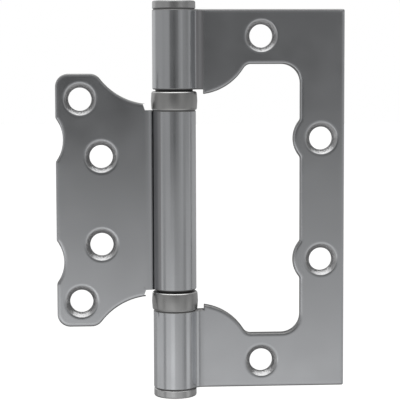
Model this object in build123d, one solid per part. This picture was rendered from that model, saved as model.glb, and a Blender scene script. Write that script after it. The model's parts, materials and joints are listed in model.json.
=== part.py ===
from build123d import *
import os
from math import acos, asin, cos, degrees, radians, sin, sqrt

# Non-mortise hinge, opened flat: the inner leaf (door side) nests in the outer leaf (frame side) when shut.
# Millimetres. The pin axis is Z, the origin is on it at mid-height, and the countersunk faces look along -Y.
# The frame leaf lies along +X and the door leaf along -X.

# Sheet of both leaves
sheet = 2.5
bend_inside = 3.1  # inside radius of the bend between leaf and knuckle
edge_break = 0.3  # bevel along the blanked edges and the knuckles' ends
corner_break = 0.5  # outer corners of the frame leaf

# Barrel
pin_diameter = 6.3
pin_clearance = 0.05  # radial, between pin and knuckles
end_knuckle = 20.9
bearing_space = 5.4  # between two knuckles
seam_gap = 0.5  # open seam where the rolled sheet comes back to the leaf
neck = 7.7  # from the pin axis to where a leaf widens beyond its knuckles

# Frame leaf
leaf_height = 100.0
frame_reach = 44.9  # from the pin axis to the outer edge
bar = 14.3  # height of the top and bottom bars
upright = 11.6  # width of the outer upright
boss_radius = 7.4  # sheet left round each screw hole of the upright
wing_radius = 14.7
wing_x = 5.8  # centre of the wings' arcs, from the pin axis
wing_drop = 1.2  # how far a wing's tip passes the end of its knuckle

# Folded shut, the door leaf lies inside the frame leaf with these gaps
nest_gap_side = 2.2
nest_gap_end = 2.4
nest_gap_wing = 2.5  # along the wings' arcs
cutout_corner = 5.0
door_corner = 3.4
cutout_shoulder = 2.2  # rounding where a wing's arc meets the straight edge
door_shoulder = 3.3
mouth_round = 1.1  # at the scallops' mouths
tip_slant = 0.6  # lean of the short step at the door leaf's tips

# Screw holes, 90 degree countersinks
hole_diameter = 6.1
sink_diameter = 8.4
bar_screw_inset = 22.0  # from the outer edge of the frame leaf
bar_screw_drop = 6.95  # from its top and bottom edges
upright_screw_inset = 6.1
upright_screw_spacing = 32.2
door_outer_inset = 6.4  # from the outer edge of the door leaf
door_outer_drop = 6.65  # from its top and bottom edges
door_inner_inset = 11.85
door_inner_spacing = 23.2

# Caps
cap_diameter = 11.3
cap_height = 2.2
cap_groove = 0.3  # chamfer beside the knuckle
cap_rim = 0.4  # bevel of the outer rim
spigot = 4.0
cap_fit = 0.02  # radial, between spigot and knuckle
pin_chamfer = 0.4

# Ball bearings between the knuckles
ball_count = 13  # in each full row
ball_side_gap = 0.21  # from the pin to the balls, and from the balls to the shell
ball_play = 0.03  # above, below and beside each ball
shell_wall = 0.5
shell_rim = 0.5  # bevel of both rims
shell_gap = 0.45  # from the shell's top to the next knuckle
collar_wall = 1.7  # wall of the top race's collar, which stands out of the shell
bearing_clearance = 0.08  # between pieces of a bearing that turn past each other

# Worked out from the above
half_sheet = sheet / 2
pin_radius = pin_diameter / 2
bore_radius = pin_radius + pin_clearance
knuckle_radius = bore_radius + sheet
half_height = leaf_height / 2
end_knuckle_inner = half_height - end_knuckle
centre_half = end_knuckle_inner - bearing_space
roll_mid = bore_radius + half_sheet
bend_mid = bend_inside + half_sheet
bend_reach = roll_mid + bend_mid
bend_x = sqrt(bend_reach**2 - bend_mid**2)
entry_angle = degrees(asin(bend_mid / bend_reach))
seam_reach = bend_inside + sheet + seam_gap
end_cosine = (bend_reach**2 + knuckle_radius**2 - seam_reach**2) / (2 * bend_reach * knuckle_radius)
end_angle = degrees(acos(end_cosine))
free_angle = end_angle - entry_angle
wing_z = end_knuckle_inner - wing_drop + sqrt(wing_radius**2 - (neck - wing_x) ** 2)
door_reach = frame_reach - upright - nest_gap_side
door_half = half_height - bar - nest_gap_end
boss_x = frame_reach - upright_screw_inset
boss_z = upright_screw_spacing / 2
ball_step = sin(radians(180 / ball_count))
ball_radius = ((pin_radius + ball_side_gap) * ball_step - ball_play) / (1 - ball_step)
ball_pitch = pin_radius + ball_side_gap + ball_radius
shell_inner = ball_pitch + ball_radius + ball_side_gap
shell_radius = shell_inner + shell_wall
shell_height = bearing_space - shell_gap


def polar(radius, angle):
    return (radius * cos(radians(angle)), radius * sin(radians(angle)))


def box_between(x_low, x_high, half):
    """A flat rectangle from x_low to x_high, and as far above the middle as below."""
    return Pos((x_low + x_high) / 2, 0) * Rectangle(x_high - x_low, 2 * half)


def circles(x, z, radius):
    """Two equal discs, one above the middle and one below."""
    return Pos(x, z) * Circle(radius) + Pos(x, -z) * Circle(radius)


def corners(sketch, x, z=None):
    """The corners of a flat shape on the line x, or the pair of them at height z."""
    near = [v for v in sketch.vertices() if abs(v.X - x) < 0.01]
    return [v for v in near if z is None or abs(abs(v.Y) - z) < 0.01]


def nest_outline(grown):
    """The door leaf's outline from the pin axis out where grown is 0, and the frame leaf's cut-out where it is 1."""
    reach = door_reach + grown * nest_gap_side
    half = door_half + grown * nest_gap_end
    shape = box_between(0, reach, half)
    shape -= circles(wing_x, wing_z, wing_radius + (1 - grown) * nest_gap_wing)
    shoulders = [v for v in shape.vertices() if abs(abs(v.Y) - half) < 0.01 and v.X < reach - 0.01]
    shape = fillet(shoulders, door_shoulder + grown * (cutout_shoulder - door_shoulder))
    shape = fillet(corners(shape, reach, half), door_corner + grown * (cutout_corner - door_corner))
    scallop = boss_radius + (1 - grown) * nest_gap_side
    half_mouth = sqrt(scallop**2 - (boss_x - reach) ** 2)
    shape -= circles(boss_x, boss_z, scallop)
    mouths = corners(shape, reach, boss_z + half_mouth) + corners(shape, reach, boss_z - half_mouth)
    return fillet(mouths, mouth_round)


def rolled_section():
    """The sheet seen from above: flat at the neck, bent forward, and rolled round the pin to an open seam."""
    bend = (bend_x, -bend_mid)
    bend_sweep = 90 - entry_angle
    roll_sweep = 360 - entry_angle - free_angle
    return make_face(
        [
            Line((neck, -half_sheet), (bend_x, -half_sheet)),
            CenterArc(bend, bend_inside, 90, bend_sweep),
            CenterArc((0, 0), knuckle_radius, -entry_angle, -roll_sweep),
            Line(polar(knuckle_radius, free_angle), polar(bore_radius, free_angle)),
            CenterArc((0, 0), bore_radius, free_angle, roll_sweep),
            CenterArc(bend, bend_inside + sheet, 90 + bend_sweep, -bend_sweep),
            Line((bend_x, half_sheet), (neck, half_sheet)),
            Line((neck, half_sheet), (neck, -half_sheet)),
        ]
    )


def knuckle(low, high):
    """One rolled knuckle with its neck, between two heights, bevelled round the outside of both ends."""
    roll = Pos(0, 0, low) * extrude(rolled_section(), high - low)
    arcs = roll.faces().filter_by(Axis.Z).edges().filter_by(GeomType.CIRCLE)
    return chamfer([e for e in arcs if abs(e.radius - knuckle_radius) < 0.01], edge_break)


def plate(outline, face):
    """A flat leaf from its outline, its edges bevelled on the countersunk side, which is at y = face."""
    slab = extrude(Plane.XZ * outline, half_sheet, both=True)
    side = [f for f in slab.faces().filter_by(Axis.Y) if abs(f.center().Y - face) < 0.01]
    return chamfer([e for e in side[0].edges() if e.center().X > neck + tip_slant], edge_break)


def screw_holes(x, spacing, face):
    """Two countersunk holes at x, spacing apart in height, sunk from the face at y = face."""
    drill = hole_diameter / 2
    sink = sink_diameter / 2
    into = -1 if face > 0 else 1
    tool = Cylinder(drill, sheet, align=(Align.CENTER, Align.CENTER, Align.MIN))
    tool += Cone(sink, drill, sink - drill, align=(Align.CENTER, Align.CENTER, Align.MIN))
    seats = [Plane((x, face, z), x_dir=(1, 0, 0), z_dir=(0, into, 0)) for z in (spacing / 2, -spacing / 2)]
    return [seat * tool for seat in seats]


def frame_leaf():
    """Outer leaf: a frame round the nest, with a knuckle at each end of the barrel."""
    outline = box_between(neck, frame_reach, half_height)
    outline = fillet(corners(outline, frame_reach), corner_break)
    outline -= nest_outline(1)
    leaf = plate(outline, -half_sheet)
    leaf += [knuckle(end_knuckle_inner, half_height), knuckle(-half_height, -end_knuckle_inner)]
    leaf -= screw_holes(frame_reach - bar_screw_inset, leaf_height - 2 * bar_screw_drop, -half_sheet)
    leaf -= screw_holes(boss_x, upright_screw_spacing, -half_sheet)
    return leaf


def door_leaf():
    """Inner leaf with the middle knuckle, made folded shut along +X and swung open to -X."""
    outline = nest_outline(0) & box_between(neck, frame_reach, half_height)
    tip = max(v.Y for v in corners(outline, neck))
    for side in (1, -1):
        foot = (neck, side * centre_half)
        outline -= make_face(Polyline(foot, (neck + tip_slant, side * tip), (neck, side * tip), close=True))
    leaf = plate(outline, half_sheet) + knuckle(-centre_half, centre_half)
    leaf -= screw_holes(door_reach - door_outer_inset, 2 * (door_half - door_outer_drop), half_sheet)
    leaf -= screw_holes(door_reach - door_inner_inset, door_inner_spacing, half_sheet)
    return Rot(0, 0, 180) * leaf


def hinge_pin():
    """Plain pin between the two caps' spigots."""
    rod = Cylinder(pin_radius, leaf_height - 2 * spigot)
    return chamfer(rod.edges().filter_by(GeomType.CIRCLE), pin_chamfer)


def cap():
    """Top cap: a turned head on the knuckle's end and a spigot in its bore."""
    head = Cylinder(cap_diameter / 2, cap_height, align=(Align.CENTER, Align.CENTER, Align.MIN))
    rims = head.edges().filter_by(GeomType.CIRCLE).sort_by(Axis.Z)
    head = chamfer(rims[0], cap_groove)
    rims = head.edges().filter_by(GeomType.CIRCLE).sort_by(Axis.Z)
    head = chamfer(rims[-1], cap_rim)
    plug = Cylinder(bore_radius - cap_fit, spigot, align=(Align.CENTER, Align.CENTER, Align.MAX))
    return Pos(0, 0, half_height) * (head + plug)


def turned(profile):
    """A ring turned about the pin axis from a section drawn as radius and height."""
    return revolve(Plane.XZ * profile, Axis.Z)


def section(r_low, r_high, z_low, z_high):
    """A rectangular section between two radii and two heights."""
    return Pos((r_low + r_high) / 2, (z_low + z_high) / 2) * Rectangle(r_high - r_low, z_high - z_low)


def ball():
    """One ball about its own centre: a cube cut to 26 flats of like size, so that a full row stays light."""
    cube = Box(2 * ball_radius, 2 * ball_radius, 2 * ball_radius)
    return chamfer(cube.edges(), ball_radius * (2 - sqrt(2)))


def bearing():
    """One ball bearing standing on height zero: shell, two races and a full row of balls, by name."""
    race_inner = pin_radius + bearing_clearance
    race_outer = shell_inner - bearing_clearance
    collar_radius = race_inner + collar_wall
    lip = shell_height - shell_wall
    flange_top = lip - bearing_clearance
    row_height = 2 * (ball_radius + ball_play)
    race = (flange_top - row_height) / 2
    ball_z = race + row_height / 2

    outer = section(race_inner, shell_radius, 0, shell_height)
    outer = chamfer(corners(outer, shell_radius), shell_rim)
    hollow = section(race_inner, shell_inner, 0, lip)
    mouth = section(race_inner, collar_radius + bearing_clearance, lip, shell_height)
    flange = section(race_inner, race_outer, flange_top - race, flange_top)
    collar = section(race_inner, collar_radius, flange_top - race, bearing_space)
    pieces = {
        "bearing_shell": turned(outer - hollow - mouth),
        "bottom_race": turned(section(race_inner, race_outer, 0, race)),
        "top_race": turned(flange + collar),
    }
    for i in range(ball_count):
        pieces[f"ball_{i + 1:02d}"] = Rot(0, 0, 360 * i / ball_count) * Pos(ball_pitch, 0, ball_z) * ball()
    return pieces


parts = {
    "frame_leaf": frame_leaf(),
    "door_leaf": door_leaf(),
    "hinge_pin": hinge_pin(),
    "top_cap": cap(),
    "bottom_cap": Rot(180, 0, 0) * cap(),
}
for place, seat_z in (("upper", centre_half), ("lower", -end_knuckle_inner)):
    for name, piece in bearing().items():
        parts[f"{place}_{name}"] = Pos(0, 0, seat_z) * piece

os.makedirs("parts", exist_ok=True)
for node, shape in parts.items():
    export_step(shape, f"parts/{node}.step")
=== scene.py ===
import json
import math

import bmesh
import bpy
from mathutils import Matrix, Vector
from mathutils.geometry import delaunay_2d_cdt, intersect_point_line


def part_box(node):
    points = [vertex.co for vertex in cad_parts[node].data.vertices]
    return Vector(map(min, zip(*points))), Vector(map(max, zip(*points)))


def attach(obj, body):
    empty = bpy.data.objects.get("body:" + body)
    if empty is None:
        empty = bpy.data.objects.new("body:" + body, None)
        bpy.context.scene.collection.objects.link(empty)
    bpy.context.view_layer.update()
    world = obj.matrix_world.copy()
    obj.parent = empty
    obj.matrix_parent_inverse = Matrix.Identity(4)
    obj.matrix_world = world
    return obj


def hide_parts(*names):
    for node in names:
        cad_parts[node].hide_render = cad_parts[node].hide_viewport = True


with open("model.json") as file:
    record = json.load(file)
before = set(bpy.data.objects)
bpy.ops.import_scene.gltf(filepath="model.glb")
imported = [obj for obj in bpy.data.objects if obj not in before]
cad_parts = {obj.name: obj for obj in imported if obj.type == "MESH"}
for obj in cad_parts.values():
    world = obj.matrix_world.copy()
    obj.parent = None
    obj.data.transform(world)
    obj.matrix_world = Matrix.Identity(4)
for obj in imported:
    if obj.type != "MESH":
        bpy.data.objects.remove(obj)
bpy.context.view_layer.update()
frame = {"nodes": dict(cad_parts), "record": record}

MM = 0.001

# Camera, as the photograph was taken
CAMERA_PLACE = Vector((-18.1, -401.3, 34.9)) * MM
CAMERA_TURN = math.radians(3.54)  # to the right of straight ahead
CAMERA_TILT = math.radians(4.97)  # down
CAMERA_ROLL = math.radians(-0.19)
SENSOR = 36.0
LENS = 137.4

# Rounding of the leaves' edges
WELD = 0.001 * MM
COPLANAR = math.radians(0.3)
SHARP = math.radians(25)
SHEET_ONLY = 10 * MM  # further from the pin axis than this a leaf is flat sheet alone
EDGE_ROUND = 0.07 * MM
EDGE_STEPS = 3
RIM_ROUND = 0.12 * MM  # where a countersink meets the face
RIM_STEPS = 5
SINK_REACH = 1.3 * MM  # a countersink's rim lies this much outside its hole
EDGE_LEAN = 0.05  # mm that blanking pulls a face back at its edges
LEAN_ROWS = ((0.22, 0.015), (0.62, 0), (0.74, 0))  # mm in from the edge, mm back
LEAN_STEP = 1.2 * MM  # longest piece of an edge
LEAN_DEPTH = 0.06 * MM  # the leaning rows lie within this of the face
NECK = 7.9 * MM  # no lean nearer to the pin axis than this
LEVEL = 0.99  # a face this nearly square to the view from the front is flat
PARALLEL = 0.02  # sine of the turn between two edges under which they run on straight
TIGHT_REACH = 15  # points looked at on each side of a tight corner
TIGHT_ROOM = 0.95  # share of the width that a moved point has to keep from its ring
INSIDE_OUTLINES = 1  # fills a flat outline with triangles, and nothing outside it

# Where the leaves' finishes and their painted shade change. A face's level is 1 where it is square to the view from
# the front
HOLE_WALL_LEVEL = 0.35
SINK_LEVEL = 0.9
SHEARED_LEVEL = 0.6
SHEARED_END = 0.3  # how far a sheared end looks up or down
BEND_LOOK = -0.1  # the bend's faces look further to the front than this
# The same, from the pin axis, with turns from the front and negative to the left
ROLL_SKIN = 5.4 * MM
BEND_START = 5.6 * MM
FLAT_START = 7.6 * MM
CURL_SHADE_TURN = -43
CURL_END_TURN = -50

# Turned pieces
TURNS = 96
RING_BULGE = 0.12 * MM
RING_ROUND = 0.62 * MM
RING_WALL = 0.5 * MM
RING_LIP = 0.95 * MM  # how far the top lip reaches in over the top race
RIM_LEAN = 0.45  # how far up or down a ring's rim faces where it gets the painted highlight
CAP_ROUND = 0.45 * MM
CAP_GROOVE = 0.3 * MM
SPIGOT_OVER_PIN = 0.03 * MM

# Studio, which the metal mirrors: cards all round, by turn from the camera to the right and by lift, in degrees
CARD_RADIUS = 0.9
CARD_LIFTS = (-17, -14.5, -8.5, -4.3, 1.5, 12, 55)
CARDS = (  # name, from turn, to turn, lights at the lifts from the second to the last but one
    ("back_left", -165, -118, 0.45, 0.45, 0.55, 0.7, 0.7),
    ("left", -118, -67, 0.78, 0.57, 0.48, 0.43, 0.43),
    ("left_dip", -67, -53, 0.35, 0.37, 0.39, 0.4, 0.4),
    ("front_left", -53, -25, 0.95, 0.5, 0.41, 0.42, 0.42),
    ("front_near", -25, -4, 1.25, 0.49, 0.32, 0.1, 0.26),
    ("front", -4, 12, 0.78, 0.37, 0.36, 0.11, 0.24),
    ("front_right", 12, 21, 0.68, 0.4, 0.36, 0.15, 0.28),
    ("right_near", 21, 34, 0.6, 0.45, 0.38, 0.38, 0.38),
    ("right_strip", 34, 44, 0.46, 0.44, 0.5, 0.48, 0.46),
    ("right_dip", 44, 60, 0.32, 0.34, 0.37, 0.34, 0.34),
    ("right", 60, 82, 0.85, 0.5, 0.44, 0.32, 0.24),
    ("right_far", 82, 140, 0.4, 0.5, 0.55, 0.45, 0.4),
    ("back_right", 140, 165, 0.4, 0.45, 0.45, 0.4, 0.4),
    ("back", 165, 195, 0.2, 0.2, 0.2, 0.2, 0.2),
)
CAMERA_SHADE = (-8, 5.5)  # turns of the dark place round the camera
CAMERA_SHADE_LIFTS = (-2, 9)
CAMERA_SHADE_LIGHTS = (0.03, 0.17)
CAMERA_SHADE_RADIUS = 0.87
CARD_STEP = 6  # degrees between a card's columns
CEILING = ((-80, 0.6), (-50, 1.0), (-20, 1.5), (0, 1.7), (20, 1.5), (50, 1.0), (80, 0.6))  # lean, light
CEILING_HEIGHT = 1.2
CEILING_FRONT = -0.9
CEILING_BACK = 0.25
TABLE = ((-0.95, 0.78), (-0.4, 0.58), (-0.02, 0.46), (0.05, 0.3), (0.1, 0.22), (0.95, 0.22))  # place in y, light
TABLE_HALF = 0.95
TABLE_HEIGHT = -0.275
FLOOR_HEIGHT = -0.28
FLOOR_HALF = 8.0
FLOOR_GLOW = 0.55
WORLD_LEVEL = 0.6
TOP_LIGHT_PLACE = (0, -0.2, 1.0)
TOP_LIGHT_SIZE = 0.9
TOP_LIGHT_RADIANCE = 1.0


# Node helpers


def links(tree, *pairs):
    for source, target in pairs:
        tree.links.new(source, target)


def node(tree, kind, **settings):
    made = tree.nodes.new(kind)
    for name, value in settings.items():
        setattr(made, name, value)
    return made


def effect(name, inputs, outputs):
    """A shader node group with named inputs, each with its plain value, and named outputs."""
    tree = bpy.data.node_groups.new(name, "ShaderNodeTree")
    for label, kind, value in inputs:
        socket = tree.interface.new_socket(label, in_out="INPUT", socket_type=kind)
        if value is not None:
            socket.default_value = value
    for label, kind in outputs:
        tree.interface.new_socket(label, in_out="OUTPUT", socket_type=kind)
    return tree, tree.nodes.new("NodeGroupInput"), tree.nodes.new("NodeGroupOutput")


def place(tree, group, **values):
    """One use of an effect in a material, with its own values."""
    made = tree.nodes.new("ShaderNodeGroup")
    made.node_tree = group
    for label, value in values.items():
        made.inputs[label.replace("_", " ")].default_value = value
    return made


def blank(name):
    material = bpy.data.materials.new(name)
    material.use_nodes = True
    material.node_tree.nodes.clear()
    return material, material.node_tree


# Effects


def make_streaks():
    """Height of fine parallel tool marks: noise, long on the axes where the stretch is small."""
    tree, into, out = effect(
        "tool marks",
        [("Stretch", "NodeSocketVector", (1, 1, 1)), ("Fineness", "NodeSocketFloat", 1000.0)],
        [("Height", "NodeSocketFloat")],
    )
    where = node(tree, "ShaderNodeTexCoord")
    scaled = node(tree, "ShaderNodeVectorMath", operation="MULTIPLY")
    fine = node(tree, "ShaderNodeTexNoise")
    fine.inputs["Detail"].default_value = 3.0
    links(
        tree,
        (where.outputs["Object"], scaled.inputs[0]),
        (into.outputs["Stretch"], scaled.inputs[1]),
        (scaled.outputs[0], fine.inputs["Vector"]),
        (into.outputs["Fineness"], fine.inputs["Scale"]),
        (fine.outputs["Fac"], out.inputs["Height"]),
    )
    return tree


def make_clouding():
    """Broad faint unevenness of a plated finish, from low to high."""
    tree, into, out = effect(
        "clouding",
        [("Size", "NodeSocketFloat", 60.0), ("Low", "NodeSocketFloat", 0.0), ("High", "NodeSocketFloat", 1.0)],
        [("Value", "NodeSocketFloat")],
    )
    where = node(tree, "ShaderNodeTexCoord")
    cloud = node(tree, "ShaderNodeTexNoise")
    cloud.inputs["Detail"].default_value = 2.0
    spread = node(tree, "ShaderNodeMapRange")
    spread.inputs["From Min"].default_value = 0.3
    spread.inputs["From Max"].default_value = 0.7
    links(
        tree,
        (where.outputs["Object"], cloud.inputs["Vector"]),
        (into.outputs["Size"], cloud.inputs["Scale"]),
        (cloud.outputs["Fac"], spread.inputs["Value"]),
        (into.outputs["Low"], spread.inputs["To Min"]),
        (into.outputs["High"], spread.inputs["To Max"]),
        (spread.outputs["Result"], out.inputs["Value"]),
    )
    return tree


STREAKS = make_streaks()
CLOUDING = make_clouding()
ROUGH_PATCHES = 90.0  # how fine the clouding of the roughness is
TONE_PATCHES = 40.0  # and that of the tone


def metal(name, colour, rough, stretch, fineness, depth, rough_spread=0.03, tint=0.02):
    """A plated or cut steel finish with tool marks, its roughness and tone a little uneven."""
    material, tree = blank(name)
    shader = node(tree, "ShaderNodeBsdfPrincipled")
    shader.inputs["Metallic"].default_value = 1.0
    out = node(tree, "ShaderNodeOutputMaterial")
    marks = place(tree, STREAKS, Stretch=stretch, Fineness=fineness)
    rough_cloud = place(tree, CLOUDING, Size=ROUGH_PATCHES, Low=rough - rough_spread, High=rough + rough_spread)
    tone_cloud = place(tree, CLOUDING, Size=TONE_PATCHES, Low=1 - tint, High=1 + tint)
    tone = node(tree, "ShaderNodeMix", data_type="RGBA", blend_type="MULTIPLY")
    tone.inputs["Factor"].default_value = 1.0
    tone_a, tone_b = tone.inputs[6], tone.inputs[7]  # its two colours
    tone_a.default_value = (*colour, 1)
    bump = node(tree, "ShaderNodeBump")
    bump.inputs["Strength"].default_value = 1.0
    bump.inputs["Distance"].default_value = depth
    links(
        tree,
        (tone_cloud.outputs["Value"], tone_b),
        (tone.outputs[2], shader.inputs["Base Color"]),
        (rough_cloud.outputs["Value"], shader.inputs["Roughness"]),
        (marks.outputs["Height"], bump.inputs["Height"]),
        (bump.outputs["Normal"], shader.inputs["Normal"]),
        (shader.outputs[0], out.inputs["Surface"]),
    )
    return material


SATIN_SHEET = metal("satin_sheet", (0.55, 0.56, 0.575), 0.2, (1, 1, 0.04), 4000, 0.0004 * MM)
SHEARED_EDGE = metal("sheared_edge", (0.3, 0.3, 0.3), 0.5, (1, 0.06, 1), 5000, 0.003 * MM)
SUNK_FACE = metal("sunk_face", (0.55, 0.55, 0.555), 0.22, (1, 1, 1), 1900, 0.07 * MM)
# painted shade: a darker copy of the sheet for the upper bend and the curl beside the seam, where the surroundings
# mirror dark
BEND_PAINTED_SHADE = metal("bend_painted_shade", (0.35, 0.35, 0.36), 0.3, (1, 1, 0.04), 4000, 0.0006 * MM)
# painted shade: the darkest copy of the sheet, for the curl's end beside the seam where shade falls
CURL_END_PAINTED_SHADE = metal("curl_end_painted_shade", (0.3, 0.3, 0.31), 0.32, (1, 1, 0.04), 4000, 0.0008 * MM)
SATIN_RING = metal("satin_ring", (0.4, 0.4, 0.395), 0.3, (0.03, 0.03, 1), 9000, 0.001 * MM)
# painted highlight: a brighter copy of the ring's steel for its rims
RING_RIM_PAINTED_HIGHLIGHT = metal("ring_rim_painted_highlight", (0.72, 0.72, 0.71), 0.2, (0.03, 0.03, 1), 9000, 0.0004 * MM)
SATIN_CAP = metal("satin_cap", (0.5, 0.5, 0.5), 0.25, (0.03, 0.03, 1), 8000, 0.0008 * MM)
# painted shade: near-black steel for the top race, which shows in the shaded gap between knuckle and bearing ring
GAP_PAINTED_SHADE = metal("gap_painted_shade", (0.05, 0.05, 0.05), 0.5, (0.03, 0.03, 1), 9000, 0.001 * MM)
GROUND_STEEL = metal("ground_steel", (0.4, 0.4, 0.4), 0.3, (0.03, 0.03, 1), 9000, 0.001 * MM)
BALL_STEEL = metal("ball_steel", (0.75, 0.75, 0.76), 0.06, (1, 1, 1), 3000, 0.0001 * MM, 0.01, 0.01)


# Pieces


def add_piece(name, bm, materials, body, slot, *nodes):
    """Puts a finished mesh on its body in place of its CAD nodes."""
    mesh = bpy.data.meshes.new(name)
    bm.to_mesh(mesh)
    bm.free()
    for material in materials:
        mesh.materials.append(material)
    for face in mesh.polygons:
        face.use_smooth = True
    piece = bpy.data.objects.new(name, mesh)
    bpy.context.scene.collection.objects.link(piece)
    weighted = piece.modifiers.new("even shading", "WEIGHTED_NORMAL")
    weighted.keep_sharp = True
    weighted.weight = 80
    weighted.thresh = 1e-8
    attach(piece, body)
    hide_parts(*nodes)
    return piece


def screw_holes():
    """Each screw hole's axis as (x, z), with its radius, from the part's mounts."""
    found = []
    for mount in frame["record"]["mounts"]:
        if mount["kind"] != "bolt_pattern":
            continue
        x, _, z = mount["pos_m"]
        half = mount["dims"]["spacing_y_mm"] * MM / 2
        radius = mount["dims"]["hole_r_mm"] * MM
        found += [(x, z + half, radius), (x, z - half, radius)]
    return found


HOLES = screw_holes()


def near_hole(point, reach):
    """Whether a point lies within reach of a screw hole's wall, seen from the front."""
    return any(math.hypot(point.x - x, point.z - z) < radius + reach for x, z, radius in HOLES)


def outlines(faces):
    """The closed rings of points round some flat faces, each with the faces on its left."""
    inside = set(faces)
    ahead = {}
    for face in faces:
        for corner in face.loops:
            if sum(other in inside for other in corner.edge.link_faces) == 1:
                ahead[corner.vert] = corner.link_loop_next.vert
    rings = []
    while ahead:
        ring, vert = [], next(iter(ahead))
        while vert in ahead:
            ring.append(vert)
            vert = ahead.pop(vert)
        rings.append(ring)
    return rings


def moved_in(ring, width):
    """Where the points of a ring lie once moved in by width. Those of a corner too tight for it come together."""
    spots = [Vector((v.co.x, v.co.z)) for v in ring]
    count = len(spots)
    ways = [(spots[(i + 1) % count] - spots[i]).normalized() for i in range(count)]
    sides = [Vector((-way.y, way.x)) for way in ways]

    def meet(i, j):
        """Where the edge before point i meets the edge after point j, both moved in."""
        first, last = spots[i] + sides[i - 1] * width, spots[j] + sides[j] * width
        turn = ways[i - 1].cross(ways[j])
        if abs(turn) < PARALLEL:
            return (first + last) / 2
        return first + ways[i - 1] * ((last - first).cross(ways[j]) / turn)

    def tight(i):
        """Whether point i, moved in, would come too near to another part of its ring."""
        spot = meet(i, i)
        for k in range(i - TIGHT_REACH, i + TIGHT_REACH):
            start, end = spots[k % count], spots[(k + 1) % count]
            part = min(max(intersect_point_line(spot, start, end)[1], 0), 1)
            if (start.lerp(end, part) - spot).length < TIGHT_ROOM * width:
                return True
        return False

    places = [None if tight(i) else meet(i, i) for i in range(count)]
    for i in range(count):
        if places[i] is None:
            start, end = i, i
            while places[start - 1] is None:
                start -= 1
            while places[(end + 1) % count] is None:
                end += 1
            corner = meet(start % count, end % count)
            for k in range(start, end + 1):
                places[k % count] = corner
    return places


def lean_edges(bm, front):
    """Leans a leaf's face back a little along its outline and round its holes, as blanking leaves it."""

    def on_face(face):
        return face.normal.y < -LEVEL and abs(face.calc_center_median().y - front) < WELD

    for edge in [e for e in bm.edges if sum(on_face(f) for f in e.link_faces) == 1]:
        if edge.calc_length() > LEAN_STEP:
            bmesh.ops.subdivide_edges(bm, edges=[edge], cuts=int(edge.calc_length() / LEAN_STEP))
    faces = [f for f in bm.faces if on_face(f)]
    rings = outlines(faces)
    bmesh.ops.delete(bm, geom=faces, context="FACES")

    def point(x, z, back):
        """A point of the face, back by so many mm, less near the neck."""
        lean = min(max((abs(x) - NECK) / LEAN_STEP, 0), 1)
        return x, front + lean * back * MM, z

    def fill(corners):
        """A new face that looks to the front."""
        face = bm.faces.new(corners)
        face.normal_update()
        if face.normal.y > 0:
            face.normal_flip()

    inner = []
    for ring in rings:
        row = ring
        for width, back in LEAN_ROWS:
            made = {}
            spots = moved_in(ring, width * MM)
            for spot in spots:
                if id(spot) not in made:
                    made[id(spot)] = bm.verts.new(point(*spot, back))
            further = [made[id(spot)] for spot in spots]
            for k in range(len(ring)):
                strip = list(dict.fromkeys((row[k - 1], row[k], further[k], further[k - 1])))
                if len(strip) > 2:
                    fill(strip)
            row = further
        inner.append(list(made.values()))
    points = [vert for ring in inner for vert in ring]
    member = [i for i, ring in enumerate(inner) for _ in ring]
    edges = []
    for ring in inner:
        first = points.index(ring[0])
        edges += [(first + k, first + (k + 1) % len(ring)) for k in range(len(ring))]
    flat = [Vector((vert.co.x, vert.co.z)) / MM for vert in points]
    spots, _, threes, origins, _, _ = delaunay_2d_cdt(flat, edges, [], INSIDE_OUTLINES, 1e-5)
    largest = max(range(len(inner)), key=lambda i: max(v.co.z for v in inner[i]) - min(v.co.z for v in inner[i]))
    placed = [points[o[0]] if o else bm.verts.new(point(*(s * MM), 0)) for s, o in zip(spots, origins)]
    owners = [member[o[0]] if o else largest for o in origins]
    for three in threes:
        if len({owners[i] for i in three}) == 1 and owners[three[0]] != largest:
            continue  # inside a hole
        fill([placed[i] for i in three])
    for vert in [vert for ring in rings for vert in ring]:
        vert.co = point(vert.co.x, vert.co.z, EDGE_LEAN)
    bmesh.ops.remove_doubles(bm, verts=points, dist=WELD / 10)
    bm.normal_update()


LEAF_FINISHES_AND_SHADE = (SATIN_SHEET, SHEARED_EDGE, SUNK_FACE, BEND_PAINTED_SHADE, CURL_END_PAINTED_SHADE)


def leaf_finish_or_shade(name, face, front):
    """The finish of one face of a leaf, or its painted shade, by where it is and which way it looks."""
    centre = face.calc_center_median()
    x, y, z = centre
    level = abs(face.normal.y)
    if near_hole(centre, SINK_REACH):
        if level < HOLE_WALL_LEVEL:
            return SHEARED_EDGE
        return SUNK_FACE if level < SINK_LEVEL else SATIN_SHEET
    if (abs(x) > FLAT_START and level < SHEARED_LEVEL) or abs(face.normal.z) > SHEARED_END:
        return SHEARED_EDGE
    if abs(x) > BEND_START and y < front - WELD and face.normal.y < BEND_LOOK:
        return BEND_PAINTED_SHADE if z > 0 else SATIN_SHEET  # painted shade: only the upper bend gets this darker colour, standing for the dark it mirrors
    # painted shade on the door leaf's curl beside the seam, darkest at its end
    if name == "door_leaf" and y < front and math.hypot(x, y) > ROLL_SKIN:
        turn = math.degrees(math.atan2(x, -y))
        if turn < CURL_SHADE_TURN:
            return CURL_END_PAINTED_SHADE if turn < CURL_END_TURN else BEND_PAINTED_SHADE
    return SATIN_SHEET


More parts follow.
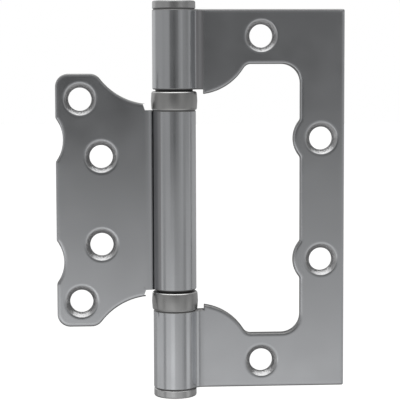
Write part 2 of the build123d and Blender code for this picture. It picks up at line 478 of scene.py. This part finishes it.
def leaf(name, body):
    """A leaf from its CAD solid, with the soft edges of a tumbled and plated blank."""
    bm = bmesh.new()
    bm.from_mesh(frame["nodes"][name].data)
    bmesh.ops.remove_doubles(bm, verts=bm.verts, dist=WELD)
    bmesh.ops.dissolve_limit(bm, angle_limit=COPLANAR, verts=bm.verts, edges=bm.edges)
    front = min(v.co.y for v in bm.verts if abs(v.co.x) > SHEET_ONLY)
    lean_edges(bm, front)

    def is_rim(edge):
        middle = (edge.verts[0].co + edge.verts[1].co) / 2
        return abs(middle.y - front - EDGE_LEAN * MM) < WELD and near_hole(middle, SINK_REACH)

    rims = [e for e in bm.edges if is_rim(e)]
    bmesh.ops.bevel(bm, geom=rims, offset=RIM_ROUND, segments=RIM_STEPS, profile=0.5, affect="EDGES")

    def is_front(face):
        return all(abs(v.co.y - front) < LEAN_DEPTH for v in face.verts)

    def is_sharp(edge):
        if len(edge.link_faces) != 2 or edge.calc_face_angle(0) < SHARP:
            return False
        return not (is_front(edge.link_faces[0]) and is_front(edge.link_faces[1]))

    sharp = [e for e in bm.edges if is_sharp(e)]
    bmesh.ops.bevel(bm, geom=sharp, offset=EDGE_ROUND, segments=EDGE_STEPS, profile=0.5, affect="EDGES")
    bm.normal_update()
    # each face gets its finish, or painted shade on the upper bend and the curl's end
    for face in bm.faces:
        face.material_index = LEAF_FINISHES_AND_SHADE.index(leaf_finish_or_shade(name, face, front))
    add_piece(name + "_finish", bm, LEAF_FINISHES_AND_SHADE, body, "satin_sheet", name)


def turned(name, profile, materials, body, slot, *nodes):
    """A piece turned about the pin axis from a closed profile of radius and height."""
    bm = bmesh.new()
    rows = []
    for i in range(TURNS):
        turn = 2 * math.pi * i / TURNS
        rows.append([bm.verts.new((r * math.cos(turn), r * math.sin(turn), z)) for r, z in profile])
    for i in range(TURNS):
        here, there = rows[i], rows[(i + 1) % TURNS]
        for j in range(len(profile)):
            k = (j + 1) % len(profile)
            bm.faces.new((here[j], there[j], there[k], here[k]))
    bmesh.ops.remove_doubles(bm, verts=bm.verts, dist=WELD / 10)
    bmesh.ops.recalc_face_normals(bm, faces=bm.faces)
    for edge in bm.edges:
        edge.smooth = edge.calc_face_angle(0) < SHARP
    return add_piece(name, bm, materials, body, slot, *nodes)


def arc(r, z, radius, start, end, steps=8):
    """Points of an arc in a profile, its centre at (r, z), angles in degrees from outwards to upwards."""
    angles = [math.radians(start + (end - start) * i / steps) for i in range(steps + 1)]
    return [(r + radius * math.cos(a), z + radius * math.sin(a)) for a in angles]


def ring(place_name, body):
    """A bearing's shell: rounded rims with a painted highlight, slightly barrelled side and a thin top lip round the
    collar.
    """
    node_name = place_name + "_bearing_shell"
    low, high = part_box(node_name)
    outer = min(high.x, high.y)
    inner = outer - RING_WALL
    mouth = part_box(place_name + "_top_race")[1].x - RING_LIP
    lip = high.z - RING_WALL
    r = RING_ROUND
    profile = (
        arc(outer - RING_BULGE - r, low.z + r, r, -90, -8)
        + [(outer, (low.z + high.z) / 2)]
        + arc(outer - RING_BULGE - r, high.z - r, r, 8, 90)
        + [(mouth, high.z), (mouth, lip), (inner, lip), (inner, low.z)]
    )
    made = turned(place_name + "_ring", profile, (SATIN_RING, RING_RIM_PAINTED_HIGHLIGHT), body, "satin_turned", node_name)
    for face in made.data.polygons:
        outside = math.hypot(face.center.x, face.center.y) > inner
        # the rim faces that look up or down get the painted highlight
        face.material_index = int(outside and abs(face.normal.z) > RIM_LEAN)


def cap(name, side):
    """An end cap with its spigot, turned with a groove beside the knuckle and a rounded rim. Side is 1 for the top."""
    low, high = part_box(name)
    edge = high.x
    spigot_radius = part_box("hinge_pin")[1].x + SPIGOT_OVER_PIN
    top, bottom = (high.z, low.z) if side > 0 else (-low.z, -high.z)
    seat = abs(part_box("frame_leaf")[1].z)
    r = CAP_ROUND
    profile = (
        [(0, bottom), (spigot_radius, bottom), (spigot_radius, seat), (edge - CAP_GROOVE, seat)]
        + [(edge, seat + CAP_GROOVE)]
        + arc(edge - r, top - r, r, 0, 90)
        + [(0, top)]
    )
    turned(name + "_turned", [(x, side * z) for x, z in profile], (SATIN_CAP,), "frame_side", "satin_turned", name)


def ball_row(place_name, body):
    """The full row of round balls of one bearing."""
    names = sorted(n for n in frame["nodes"] if n.startswith(place_name + "_ball_"))
    bm = bmesh.new()
    for ball_name in names:
        low, high = (Vector(corner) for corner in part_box(ball_name))
        radius = (high.z - low.z) / 2
        bmesh.ops.create_icosphere(bm, subdivisions=3, radius=radius, matrix=Matrix.Translation((low + high) / 2))
    add_piece(place_name + "_balls_round", bm, (BALL_STEEL,), body, "ball_steel", *names)


leaf("frame_leaf", "frame_side")
leaf("door_leaf", "door_side")
ring("upper", "door_side")
ring("lower", "frame_side")
cap("top_cap", 1)
cap("bottom_cap", -1)
ball_row("upper", "upper_balls")
ball_row("lower", "lower_balls")
for name, shown in frame["nodes"].items():
    # the top race, seen in the gap between knuckle and ring, gets the painted shade
    finish = GAP_PAINTED_SHADE if name.endswith("top_race") else GROUND_STEEL
    for slot in shown.material_slots:
        slot.material = finish


# Studio


def make_glow():
    """The cards' light, which each point of their meshes holds."""
    material, tree = blank("card light")
    held = node(tree, "ShaderNodeAttribute", attribute_name="light")
    light = node(tree, "ShaderNodeEmission")
    out = node(tree, "ShaderNodeOutputMaterial")
    links(tree, (held.outputs["Fac"], light.inputs["Strength"]), (light.outputs[0], out.inputs["Surface"]))
    return material


GLOW = make_glow()


def card(name, rows):
    """A lit card from rows of points, each a place and its light. Only the metal mirrors it."""
    bm = bmesh.new()
    held = bm.verts.layers.float.new("light")
    grid = []
    for row in rows:
        line = []
        for spot, light in row:
            vert = bm.verts.new(spot)
            vert[held] = light
            line.append(vert)
        grid.append(line)
    for here, there in zip(grid, grid[1:]):
        for j in range(len(here) - 1):
            bm.faces.new((here[j], there[j], there[j + 1], here[j + 1]))
    mesh = bpy.data.meshes.new(name)
    bm.to_mesh(mesh)
    bm.free()
    mesh.materials.append(GLOW)
    made = bpy.data.objects.new(name, mesh)
    bpy.context.scene.collection.objects.link(made)
    made.visible_camera = False
    made.visible_shadow = False
    made.visible_diffuse = False


def round_card(name, turns, lifts, lights, radius):
    """A card bent round the object, from one turn to another, with a light at each lift."""
    rows = []
    steps = max(2, round((turns[1] - turns[0]) / CARD_STEP))
    for i in range(steps + 1):
        turn = math.radians(turns[0] + (turns[1] - turns[0]) * i / steps)
        x, y = radius * math.sin(turn), -radius * math.cos(turn)
        heights = [radius * math.tan(math.radians(lift)) for lift in lifts]
        rows.append([((x, y, z), light) for z, light in zip(heights, lights)])
    card(name, rows)


def ceiling_card():
    """A card arched over the object from left to right."""
    rows = []
    for lean, light in CEILING:
        x = CEILING_HEIGHT * math.sin(math.radians(lean))
        z = CEILING_HEIGHT * math.cos(math.radians(lean))
        rows.append([((x, y, z), light) for y in (CEILING_FRONT, CEILING_BACK)])
    card("ceiling", rows)


for name, start, end, *lights in CARDS:
    round_card(name, (start, end), CARD_LIFTS, (lights[0], *lights, lights[-1]), CARD_RADIUS)
round_card("camera_shade", CAMERA_SHADE, CAMERA_SHADE_LIFTS, CAMERA_SHADE_LIGHTS, CAMERA_SHADE_RADIUS)
ceiling_card()
card("table", [[((x, y, TABLE_HEIGHT), light) for x in (-TABLE_HALF, TABLE_HALF)] for y, light in TABLE])


def soft_box(name, place_at, size, radiance):
    """A square lamp that looks at the object and isn't mirrored in it."""
    lamp = bpy.data.lights.new(name, "AREA")
    lamp.size = size
    lamp.energy = radiance * math.pi * size * size
    made = bpy.data.objects.new(name, lamp)
    made.location = place_at
    made.rotation_mode = "QUATERNION"
    made.rotation_quaternion = (-Vector(place_at)).to_track_quat("-Z", "Y")
    bpy.context.scene.collection.objects.link(made)
    made.visible_camera = False
    made.visible_glossy = False


soft_box("top_light", TOP_LIGHT_PLACE, TOP_LIGHT_SIZE, TOP_LIGHT_RADIANCE)


def seen_rays(tree):
    """1 for the rays that the camera, the metal or the glass sends, else 0."""
    ray = node(tree, "ShaderNodeLightPath")
    first = node(tree, "ShaderNodeMath", operation="MAXIMUM")
    second = node(tree, "ShaderNodeMath", operation="MAXIMUM")
    links(
        tree,
        (ray.outputs["Is Camera Ray"], first.inputs[0]),
        (ray.outputs["Is Glossy Ray"], first.inputs[1]),
        (first.outputs[0], second.inputs[0]),
        (ray.outputs["Is Transmission Ray"], second.inputs[1]),
    )
    return second.outputs[0]


def make_floor():
    """A plain pale floor. Its own glow lifts it to white without lighting the object, and leaves it the shadow."""
    mesh = bpy.data.meshes.new("floor")
    far = FLOOR_HALF
    mesh.from_pydata([(-far, -far, 0), (far, -far, 0), (far, far, 0), (-far, far, 0)], [], [(0, 1, 2, 3)])
    floor = bpy.data.objects.new("floor", mesh)
    floor.location.z = FLOOR_HEIGHT
    bpy.context.scene.collection.objects.link(floor)
    material, tree = blank("pale_floor")
    shader = node(tree, "ShaderNodeBsdfPrincipled")
    shader.inputs["Base Color"].default_value = (0.8, 0.8, 0.8, 1)
    shader.inputs["Roughness"].default_value = 0.9
    shader.inputs["Emission Color"].default_value = (1, 1, 1, 1)
    strength = node(tree, "ShaderNodeMath", operation="MULTIPLY")
    strength.inputs[1].default_value = FLOOR_GLOW
    out = node(tree, "ShaderNodeOutputMaterial")
    links(
        tree,
        (seen_rays(tree), strength.inputs[0]),
        (strength.outputs[0], shader.inputs["Emission Strength"]),
        (shader.outputs[0], out.inputs["Surface"]),
    )
    mesh.materials.append(material)


make_floor()


def make_world():
    """White where the camera, the metal or the glass looks past the cards, and a plain level elsewhere."""
    world = bpy.data.worlds.new("studio")
    bpy.context.scene.world = world
    world.use_nodes = True
    tree = world.node_tree
    tree.nodes.clear()
    strength = node(tree, "ShaderNodeMapRange")
    strength.inputs["To Min"].default_value = WORLD_LEVEL
    strength.inputs["To Max"].default_value = 1.0
    back = node(tree, "ShaderNodeBackground")
    back.inputs["Color"].default_value = (1, 1, 1, 1)
    out = node(tree, "ShaderNodeOutputWorld")
    links(
        tree,
        (seen_rays(tree), strength.inputs["Value"]),
        (strength.outputs["Result"], back.inputs["Strength"]),
        (back.outputs[0], out.inputs["Surface"]),
    )


make_world()


def make_camera():
    """The camera where the photograph was taken from."""
    camera = bpy.data.objects.new("camera", bpy.data.cameras.new("camera"))
    camera.data.sensor_width = SENSOR
    camera.data.lens = LENS
    camera.data.clip_start = 0.01
    camera.data.clip_end = 20
    ahead = Matrix.Rotation(-CAMERA_TURN, 4, "Z") @ Matrix.Rotation(math.pi / 2 - CAMERA_TILT, 4, "X")
    camera.matrix_world = Matrix.Translation(CAMERA_PLACE) @ ahead @ Matrix.Rotation(CAMERA_ROLL, 4, "Z")
    bpy.context.scene.collection.objects.link(camera)
    bpy.context.scene.camera = camera


make_camera()

bpy.context.scene.view_settings.view_transform = "Standard"
